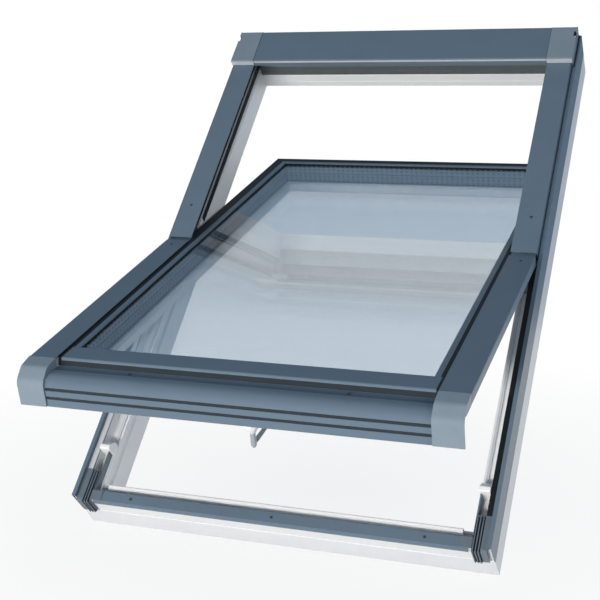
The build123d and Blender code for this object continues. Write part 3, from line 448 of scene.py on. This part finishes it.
for number, drop in enumerate(HEAD_BEADS, 1):
    bead = bead_section(reveal_y, -1, drop)
    trim(f"head_bead_{number}", bead, head_run, "x", "frame", pvc)
jamb_spans = {"upper": (PIVOT_CLEAR, seal_face), "lower": (-reveal_y, -PIVOT_CLEAR)}
seal_foot = LEDGE - JAMB_SEAL_DEPTH
for hand, sign in HANDS.items():
    wall = sign * reveal_x
    seal = ridge_section(wall, -sign, LEDGE, seal_foot, JAMB_SEAL_PROUD, SEAL_CHAMFER)
    trim(f"jamb_seal_{hand}", seal, jamb_spans["upper"], "y", "frame", rubber)
    for part, span in jamb_spans.items():
        for number, drop in enumerate(JAMB_BEADS, 1):
            bead = bead_section(wall, -sign, drop)
            trim(f"jamb_bead_{part}_{hand}_{number}", bead, span, "y", "frame", pvc)
print("jamb seals run", [round(v) for v in jamb_spans["upper"]], "mm")

# %% [markdown]
# Between each upper cover and the raised edge of its jamb, a black strip at the bottom of the gutter paints
# the gutter's shade. Shade alone would darken the gutter in some lights only, so the strip fills the width
# between the cover's leg and the edge and keeps it dark in any light.

# %% Painted gutter shade
GUTTER_INNER = 374.3
GUTTER_OUTER = 382.0
GUTTER_HEIGHT = 1.5
cover_low, cover_high = slope_box("upper_cover_right", "frame")
gutter_run = (cover_low[1], cover_high[1])
gutter_level = cover_low[2]
for hand, sign in HANDS.items():
    sides = (sign * GUTTER_INNER, sign * GUTTER_OUTER)
    gutter = block_section(sides, (gutter_level, gutter_level + GUTTER_HEIGHT))
    # Black strip that paints the shade at the bottom of the gutter.
    trim(f"gutter_shade_strip_{hand}", gutter, gutter_run, "y", "frame", rubber)
print("gutter strips at z", round(gutter_level, 1), "mm")

# %% [markdown]
# The hood's end caps meet it in a fine dark seam. A gap in the solids would be too narrow to show, so a
# thin strip beside each cap follows the hood's top and its lip.

# %% Hood seams
SEAM_WIDTH = 0.7
SEAM_RISE = 0.4
LIP_FOOT = -2.0
TRIM_SETBACK = 1.0
hood_low, hood_high = slope_box("hood", "frame")
hood_half = hood_high[0]
hood_top = hood_high[2]
hood_front = hood_low[1]
seam_back = hood_high[1] - TRIM_SETBACK
seam_section = [
    (seam_back, hood_top - SINK),
    (seam_back, hood_top + SEAM_RISE),
    (hood_front - SEAM_RISE, hood_top + SEAM_RISE),
    (hood_front - SEAM_RISE, LIP_FOOT),
    (hood_front + SINK, LIP_FOOT),
    (hood_front + SINK, hood_top - SINK),
]
for hand, sign in HANDS.items():
    seam_span = sorted((sign * (hood_half - SEAM_WIDTH), sign * hood_half))
    trim(f"hood_seam_{hand}", seam_section, seam_span, "x", "frame", dark_seal_and_shadow_line)
print("hood seams at x", round(hood_half, 1))

# %% [markdown]
# The folded lip of the hood catches the light: a narrow bright edge on the metal and a broader one on its
# end caps. A lamp placed for that edge would spoil the other faces, so thin pale strips on the lip's face
# paint that highlight. At the outer end of each cap a black seal closes the gap to the raised edge of the
# jamb.

# %% Painted lip highlights and cap seals
LIP_STRIP = 0.5
HOOD_LIP_FACE = (6.0, 11.0)
CAP_LIP_FACE = (0.5, 11.5)
CAP_SEAL_WIDTH = 2.5
CAP_SEAL_HEIGHT = 2.0
cap_low, cap_high = slope_box("hood_end_cap_right", "frame")
cap_front = cap_low[1]
cap_end = cap_high[0] - TRIM_SETBACK
hood_end = hood_half - TRIM_SETBACK
# Thin pale strips on the lips of the hood and its caps paint the lip's highlight.
hood_lip_highlight = block_section((hood_front + SINK, hood_front - LIP_STRIP), HOOD_LIP_FACE)
trim("hood_lip_highlight", hood_lip_highlight, (-hood_end, hood_end), "x", "frame", lip_highlight_metal)
cap_lip_highlight = block_section((cap_front + SINK, cap_front - LIP_STRIP), CAP_LIP_FACE)
for hand, sign in HANDS.items():
    lip_span = sorted((sign * cap_low[0], sign * cap_end))
    trim(f"cap_lip_highlight_{hand}", cap_lip_highlight, lip_span, "x", "frame", lip_highlight_metal)
cap_seal_run = (cap_front, cap_high[1] - TRIM_SETBACK)
for hand, sign in HANDS.items():
    sides = (sign * cap_high[0], sign * (cap_high[0] + CAP_SEAL_WIDTH))
    cap_seal = block_section(sides, (cap_low[2], cap_low[2] + CAP_SEAL_HEIGHT))
    trim(f"cap_seal_{hand}", cap_seal, cap_seal_run, "y", "frame", rubber)
print("lip strips stand", LIP_STRIP, "mm proud")

# %% [markdown]
# A white bead lies along the sill over the pale seal: the sash closes against it. Its section is an
# upturned U with sloping shoulders and a shallow line along the top, which a plain bar would lack.

# %% Sill bead
BEAD_FRONT = -562.0
BEAD_BACK = -550.6
BEAD_TOP = -34.0
BEAD_SHOULDER = 2.0
BEAD_LINE = 0.8
bead_middle = (BEAD_FRONT + BEAD_BACK) / 2
sill_section = [
    (BEAD_FRONT, LEDGE - SINK),
    (BEAD_FRONT, BEAD_TOP - BEAD_SHOULDER),
    (BEAD_FRONT + BEAD_SHOULDER, BEAD_TOP),
    (bead_middle - BEAD_LINE, BEAD_TOP),
    (bead_middle, BEAD_TOP - BEAD_LINE),
    (bead_middle + BEAD_LINE, BEAD_TOP),
    (BEAD_BACK - BEAD_SHOULDER, BEAD_TOP),
    (BEAD_BACK, BEAD_TOP - BEAD_SHOULDER),
    (BEAD_BACK, LEDGE - SINK),
]
corner_low, _ = slope_box("corner_cover_right", "frame")
sill_half = corner_low[0]
trim("sill_bead", sill_section, (-sill_half, sill_half), "x", "frame", pvc)
print("sill bead", round(2 * sill_half), "mm long")

# %% [markdown]
# The rail cover has dark trims: a strip on the step below the glazing bar and lines in the two grooves of
# its front, which paint the shade there, and black end pads that close the bar towards the side covers. The
# grooves are in the solid already; the lines lie in them and paint them dark in any light.

# %% Trims and painted shade of the rail cover
STEP_TOP = (-545.6, -6.0)
STEP_FOOT = (-549.6, -16.6)
STEP_THICK = 0.9
GROOVE_DROPS = (35.0, 51.0)
GROOVE_LINE = 4.9
GROOVE_FLOOR = 1.5
GROOVE_FILL = 0.9
BAR_END = 325.0
PAD_END = 330.9
# The pad hooks over the bar's top and follows its front down: y up the slope and z outward, in mm.
PAD_SECTION = (
    (-541.0, -6.1),
    (-541.0, -4.0),
    (-545.5, -4.0),
    (-549.9, -15.0),
    (-549.9, -17.2),
    (-543.1, -17.2),
    (-543.1, -6.1),
)
rail_low, rail_high = slope_box("bottom_rail_cover", "sash")
rail_run = (rail_low[0], rail_high[0])
step_section = [
    STEP_TOP,
    (STEP_TOP[0] - STEP_THICK, STEP_TOP[1]),
    (STEP_FOOT[0] - STEP_THICK, STEP_FOOT[1]),
    STEP_FOOT,
]
# Dark strip that paints the shade on the step below the glazing bar.
trim("bar_step_shade_strip", step_section, (-BAR_END, BAR_END), "x", "sash", dark_seal_and_shadow_line)
# Dark lines that paint the shade in the front's two grooves.
line_back = rail_low[1] + GROOVE_FLOOR
for number, drop in enumerate(GROOVE_DROPS, 1):
    line_face = (-drop - GROOVE_LINE / 2, -drop + GROOVE_LINE / 2)
    line = block_section((line_back, line_back - GROOVE_FILL), line_face)
    trim(f"front_groove_shade_{number}", line, rail_run, "x", "sash", dark_seal_and_shadow_line)
for hand, sign in HANDS.items():
    pad_span = sorted((sign * BAR_END, sign * PAD_END))
    trim(f"bar_end_pad_{hand}", PAD_SECTION, pad_span, "x", "sash", rubber)
print("rail cover trims: front at y", round(rail_low[1], 1))

# %% [markdown]
# The handle hangs under the bottom rail: a white trumpet neck on an oval rosette, and below it a slim cast
# lever. Both are lofts. A list of rings, each an ellipse with its own place and size, is joined ring to
# ring, which gives soft flares that a stack of cylinders can't. They stand for the plainer solids of the
# frame.

# %% Lofts
RING_POINTS = 32
SIDE_CORNERS = 4


def ellipse(centre, first, second):
    """Points in mm of an ellipse round a centre, from its two half axes."""
    turns = [math.tau * i / RING_POINTS for i in range(RING_POINTS)]
    return [Vector(centre) + Vector(first) * math.cos(t) + Vector(second) * math.sin(t) for t in turns]


def add_loft(mesh, rings):
    """Closed skin through rings of equal count."""
    loops = [[mesh.verts.new(point * MM) for point in ring] for ring in rings]
    for near, far in zip(loops, loops[1:]):
        for i in range(RING_POINTS):
            mesh.faces.new((near[i - 1], near[i], far[i], far[i - 1]))
    mesh.faces.new(loops[0])
    mesh.faces.new(loops[-1])


def lofted(name, lofts, body, finish, node):
    """Piece of one or more lofts that stands for a solid; its sides are smooth and its ends flat."""
    mesh = bmesh.new()
    for rings in lofts:
        add_loft(mesh, rings)
    bmesh.ops.recalc_face_normals(mesh, faces=mesh.faces)
    for face in mesh.faces:
        face.smooth = len(face.verts) == SIDE_CORNERS
    piece = add_piece(name, mesh, body, finish)
    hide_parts(node)


print("rings of", RING_POINTS, "points")

# %% [markdown]
# Each ring below has its distance from an end of the solid that it stands for, then its two half sizes. So
# the lofts keep to the height and reach of the solids, and only their flares are given.

# %% Handle
NECK_TOP_RINGS = (
    (0.0, 30.0, 17.0),
    (-2.0, 32.0, 18.0),
    (-5.0, 31.0, 17.5),
    (-7.0, 24.0, 16.0),
    (-13.0, 16.5, 15.0),
    (-24.0, 15.5, 15.0),
    (-31.0, 14.5, 14.0),
    (-36.0, 12.5, 12.0),
)
NECK_FOOT_RINGS = ((0.0, 8.0, 8.0), (-5.0, 5.2, 5.2), (-6.0, 4.0, 4.0))
STEM_TOP_RINGS = ((0.0, 3.8, 3.8), (-8.0, 4.6, 4.6))
STEM_FOOT_RINGS = ((9.0, 5.2, 5.6), (3.0, 4.6, 5.0), (0.0, 2.6, 3.0))
ARM_ROOT_RINGS = ((2.0, 3.6, 3.6), (12.0, 4.6, 3.2))
ARM_TIP_RINGS = ((-20.0, 4.2, 2.8), (-3.0, 3.4, 2.4), (0.0, 2.0, 1.4))
ARM_RISE = 7.0
base_low, base_high = slope_box("handle_base", "sash")
lever_low, lever_high = slope_box("handle_lever", "handle")
handle_axis = (base_low[1] + base_high[1]) / 2
arm_level = lever_low[2] + ARM_RISE


def level_rings(start, rings):
    """Ellipses across the handle's axis, at heights from a start."""
    return [ellipse((0, handle_axis, start + rise), (a, 0, 0), (0, b, 0)) for rise, a, b in rings]


def upright_rings(start, rings):
    """Ellipses across the lever's arm, at distances from a start."""
    return [ellipse((0, start + reach, arm_level), (a, 0, 0), (0, 0, b)) for reach, a, b in rings]


neck = level_rings(base_high[2], NECK_TOP_RINGS) + level_rings(base_low[2], NECK_FOOT_RINGS)
stem = level_rings(lever_high[2], STEM_TOP_RINGS) + level_rings(lever_low[2], STEM_FOOT_RINGS)
arm = upright_rings(handle_axis, ARM_ROOT_RINGS) + upright_rings(lever_high[1], ARM_TIP_RINGS)
lofted("handle_neck", [neck], "sash", white_nylon, "handle_base")
lofted("handle_grip", [stem, arm], "handle", cast_metal, "handle_lever")
print("handle from z", round(base_high[2], 1), "to", round(lever_low[2], 1), "mm")

# %% [markdown]
# Each ribbed corner cover is a bellows of slate ribs with deep valleys between them. The ribs are in the
# solid. Black rubber strips laid into the valleys paint their shade; they follow the top of the cover and
# turn down its front.

# %% Painted shade in the corner valleys
VALLEYS = ((356.1, 357.5), (359.5, 362.5), (364.5, 367.5), (369.5, 370.9))
VALLEY_FILL = 1.5
RIB_START = -533.5
BASE_TOP = -21.0
BASE_FRONT = -594.5
valley_shade_section = [
    (RIB_START, BASE_TOP - SINK),
    (RIB_START, BASE_TOP + VALLEY_FILL),
    (BASE_FRONT - VALLEY_FILL, BASE_TOP + VALLEY_FILL),
    (BASE_FRONT - VALLEY_FILL, corner_low[2]),
    (BASE_FRONT + SINK, corner_low[2]),
    (BASE_FRONT + SINK, BASE_TOP - SINK),
]
# Black strips that paint the shade in the valleys between the ribs.
for hand, sign in HANDS.items():
    for number, valley in enumerate(VALLEYS, 1):
        span = sorted(sign * x for x in valley)
        trim(f"bellows_{hand}_{number}", valley_shade_section, span, "x", "frame", rubber)
print("bellows valleys per corner:", len(VALLEYS))

# %% [markdown]
# The cover screws have hexagon sockets. Cutting them would cost a boolean for each head, so a small dark
# hexagon set just over the middle of each head paints the shade inside its socket.

# %% Painted socket shade
SOCKET_SIDES = 6
SOCKET_RADIUS = 1.8
SOCKET_RISE = 0.15
screws = {
    "sill_screws": ("frame", (-275.0, 0.0, 275.0)),
    "upper_cover_screws": ("frame", (-358.0, 358.0)),
    "lower_cover_screws": ("sash", (-358.0, 358.0)),
    "bottom_cover_screws": ("sash", (-190.0, 190.0)),
}
corners = [math.tau * i / SOCKET_SIDES for i in range(SOCKET_SIDES)]
# Dark hexagons that paint the shade inside the sockets.
for node, (body, places) in screws.items():
    low, high = slope_box(node, body)
    y = (low[1] + high[1]) / 2
    span = (high[2] - SINK, high[2] + SOCKET_RISE)
    for number, x in enumerate(places, 1):
        hexagon = [(x + SOCKET_RADIUS * math.cos(a), y + SOCKET_RADIUS * math.sin(a)) for a in corners]
        trim(f"{node}_socket_{number}", hexagon, span, "z", body, rubber)
print("sockets:", sum(len(places) for _, places in screws.values()))

# %% [markdown]
# The window stands in a white studio with a dim back and ceiling. To the camera and through glass all of it
# is white. Reflections show a white front and a deep blue-grey behind and above, so that faces turned to
# the sky or away look deeper than those in front. A ray that a pane inside of the unit mirrors leaves it
# through the glass, so its glossy depth tells it from one that only passes. To everything else the studio
# gives an even light, from a plain white in front and below to the blue of a clear sky behind and above.

# %% Studio world
AMBIENT = 0.33
FRONT_BELOW = (0.0, -0.7, -0.7)
DIM_UNTIL = 0.4
WHITE_FROM = 0.7
ANY_BOUNCE = 0.5


def ray_mix(tree, rays, shown, other):
    """Shader that is the shown one to rays of the named kinds, and the other one to the rest."""
    path = add_node(tree, "ShaderNodeLightPath")
    seen = path.outputs[rays[0]]
    for ray in rays[1:]:
        either = add_node(tree, "ShaderNodeMath", {"operation": "MAXIMUM", 0: seen, 1: path.outputs[ray]})
        seen = either.outputs["Value"]
    return add_node(tree, "ShaderNodeMixShader", {0: seen, 1: other, 2: shown}).outputs[0]


world = bpy.data.worlds.new("studio")
bpy.context.scene.world = world
world.use_nodes = True
tree = world.node_tree
white = add_node(tree, "ShaderNodeBackground", {"Color": linear("#FFFFFF"), "Strength": 1.0})
direction = add_node(tree, "ShaderNodeTexCoord").outputs["Generated"]
facing = add_node(tree, "ShaderNodeVectorMath", {"operation": "DOT_PRODUCT", 0: direction, 1: FRONT_BELOW})
share = add_node(tree, "ShaderNodeMapRange", {"Value": facing.outputs["Value"], "From Min": -1.0})
ceiling = add_node(tree, "ShaderNodeValToRGB", {"Fac": share.outputs["Result"]})
ceiling_stops = ((DIM_UNTIL, "#7F97AE"), (WHITE_FROM, "#FFFFFF"))
for stop, (position, colour) in zip(ceiling.color_ramp.elements, ceiling_stops):
    stop.position = position
    stop.color = linear(colour)
studio = add_node(tree, "ShaderNodeBackground", {"Color": ceiling.outputs["Color"]})
sky = add_node(tree, "ShaderNodeValToRGB", {"Fac": share.outputs["Result"]})
for stop, colour in zip(sky.color_ramp.elements, ("#AFC8E4", "#E6E4E1")):
    stop.color = linear(colour)
even = set_up(tree, tree.nodes["Background"], {"Color": sky.outputs["Color"], "Strength": AMBIENT})
path = add_node(tree, "ShaderNodeLightPath").outputs
bounced_look = {"operation": "GREATER_THAN", 0: path["Glossy Depth"], 1: ANY_BOUNCE}
bounced = add_node(tree, "ShaderNodeMath", bounced_look)
inside_look = {"operation": "MULTIPLY", 0: path["Is Transmission Ray"], 1: bounced.outputs["Value"]}
inside = add_node(tree, "ShaderNodeMath", inside_look)
lit = ray_mix(tree, ["Is Glossy Ray"], studio.outputs[0], even.outputs[0])
seen = ray_mix(tree, ["Is Camera Ray", "Is Transmission Ray"], white.outputs[0], lit)
mirrored_look = {0: inside.outputs["Value"], 1: seen, 2: studio.outputs[0]}
mirrored = add_node(tree, "ShaderNodeMixShader", mirrored_look)
set_up(tree, tree.nodes["World Output"], {"Surface": mirrored.outputs[0]})
print("studio light", AMBIENT)

# %% [markdown]
# The floor is a plain pale sheet at the foot of the window. A floor lit to white would throw that light
# back at the window, so it is white only to the camera, in metal and through glass, and matt paint to all
# other rays. Near the window a share of the paint shows through the white and keeps a faint shadow.

# %% Floor
FLOOR_HALF = 1.8
FLOOR_GLOW = 1.0
SHADOW_SHARE = 0.18
SHADOW_REACH = 1.3
floor_mesh = bmesh.new()
bmesh.ops.create_grid(floor_mesh, x_segments=1, y_segments=1, size=FLOOR_HALF)
floor_data = bpy.data.meshes.new("floor")
floor_mesh.to_mesh(floor_data)
floor_mesh.free()
floor = bpy.data.objects.new("floor", floor_data)
bpy.context.collection.objects.link(floor)
floor.location = (0, 0, cad_box[0][2])
# Matt floor paint: a pale cool grey that scatters nearly all of its light.
floor_paint, tree, shader, place = new_finish("pale matt floor paint")
set_up(tree, shader, {"Base Color": linear("#CBD2D8"), "Roughness": 0.9})
glow = add_node(tree, "ShaderNodeEmission", {"Color": linear("#FFFFFF"), "Strength": FLOOR_GLOW})
spread = add_node(tree, "ShaderNodeMapping", {"Scale": (1 / SHADOW_REACH,) * 3, "Vector": place})
near_look = {"gradient_type": "SPHERICAL", "Vector": spread.outputs["Vector"]}
near = add_node(tree, "ShaderNodeTexGradient", near_look)
keep = add_node(tree, "ShaderNodeMath", {"operation": "MULTIPLY", 0: near.outputs["Fac"], 1: SHADOW_SHARE})
shaded_look = {0: keep.outputs["Value"], 1: glow.outputs[0], 2: shader.outputs[0]}
shaded = add_node(tree, "ShaderNodeMixShader", shaded_look)
shown_rays = ["Is Camera Ray", "Is Glossy Ray", "Is Transmission Ray"]
surface = ray_mix(tree, shown_rays, shaded.outputs[0], shader.outputs[0])
set_up(tree, tree.nodes["Material Output"], {"Surface": surface})
floor_data.materials.append(floor_paint)
print("floor at", round(cad_box[0][2], 3), "m")

# %% [markdown]
# Faces towards the camera are the lightest on the real window and those that face the sky are darker, so
# the main soft light stands low in front, with weaker ones on the right and above, and one behind for the
# room side. All of them aim at the middle of the window. Most are kept out of reflections, so that the
# rounded rail shows the white studio and not a lamp.

# %% Soft lights


def soft_light(name, place, width, height, power, tint="#FFFFFF", mirrored=True):
    """Area light turned to the middle of the window; one that isn't mirrored shows in no metal or glass."""
    lamp = bpy.data.lights.new(name, "AREA")
    lamp.shape = "RECTANGLE"
    lamp.size = width
    lamp.size_y = height
    lamp.energy = power
    lamp.color = linear(tint)[:3]
    holder = bpy.data.objects.new(name, lamp)
    bpy.context.collection.objects.link(holder)
    holder.visible_glossy = mirrored
    holder.visible_transmission = mirrored
    holder.location = place
    holder.rotation_euler = (-Vector(place)).to_track_quat("-Z", "Y").to_euler()


soft_light("front light", (-0.7, -4.4, -0.35), width=2.6, height=0.5, power=190,
           tint="#FFFAF4", mirrored=False)
soft_light("right fill", (3.0, -1.4, 0.9), width=2.0, height=2.0, power=28, mirrored=False)
soft_light("sky light", (-2.6, -1.0, 3.2), width=2.0, height=2.0, power=6)
soft_light("back light", (0.2, 4.2, 0.7), width=3.2, height=2.0, power=150, mirrored=False)

# %% [markdown]
# The camera stands to the right of the window, a little above its middle, and looks slightly down on it.
# Its place, turn and lens are one fit to the window's edges, so they are kept as found and not rounded.

# %% Camera
CAMERA_PLACE = (0.7720, -2.3109, 0.3417)
CAMERA_TURN = (79.491, 0.319, 20.432)
CAMERA_LENS = 74.745
CAMERA_SENSOR = 36.0
camera_data = bpy.data.cameras.new("camera")
camera_data.lens = CAMERA_LENS
camera_data.sensor_width = CAMERA_SENSOR
camera = bpy.data.objects.new("camera", camera_data)
bpy.context.collection.objects.link(camera)
camera.location = CAMERA_PLACE
camera.rotation_euler = [math.radians(angle) for angle in CAMERA_TURN]
bpy.context.scene.camera = camera
bpy.context.scene.view_settings.view_transform = "Standard"
print("camera lens", CAMERA_LENS, "mm")
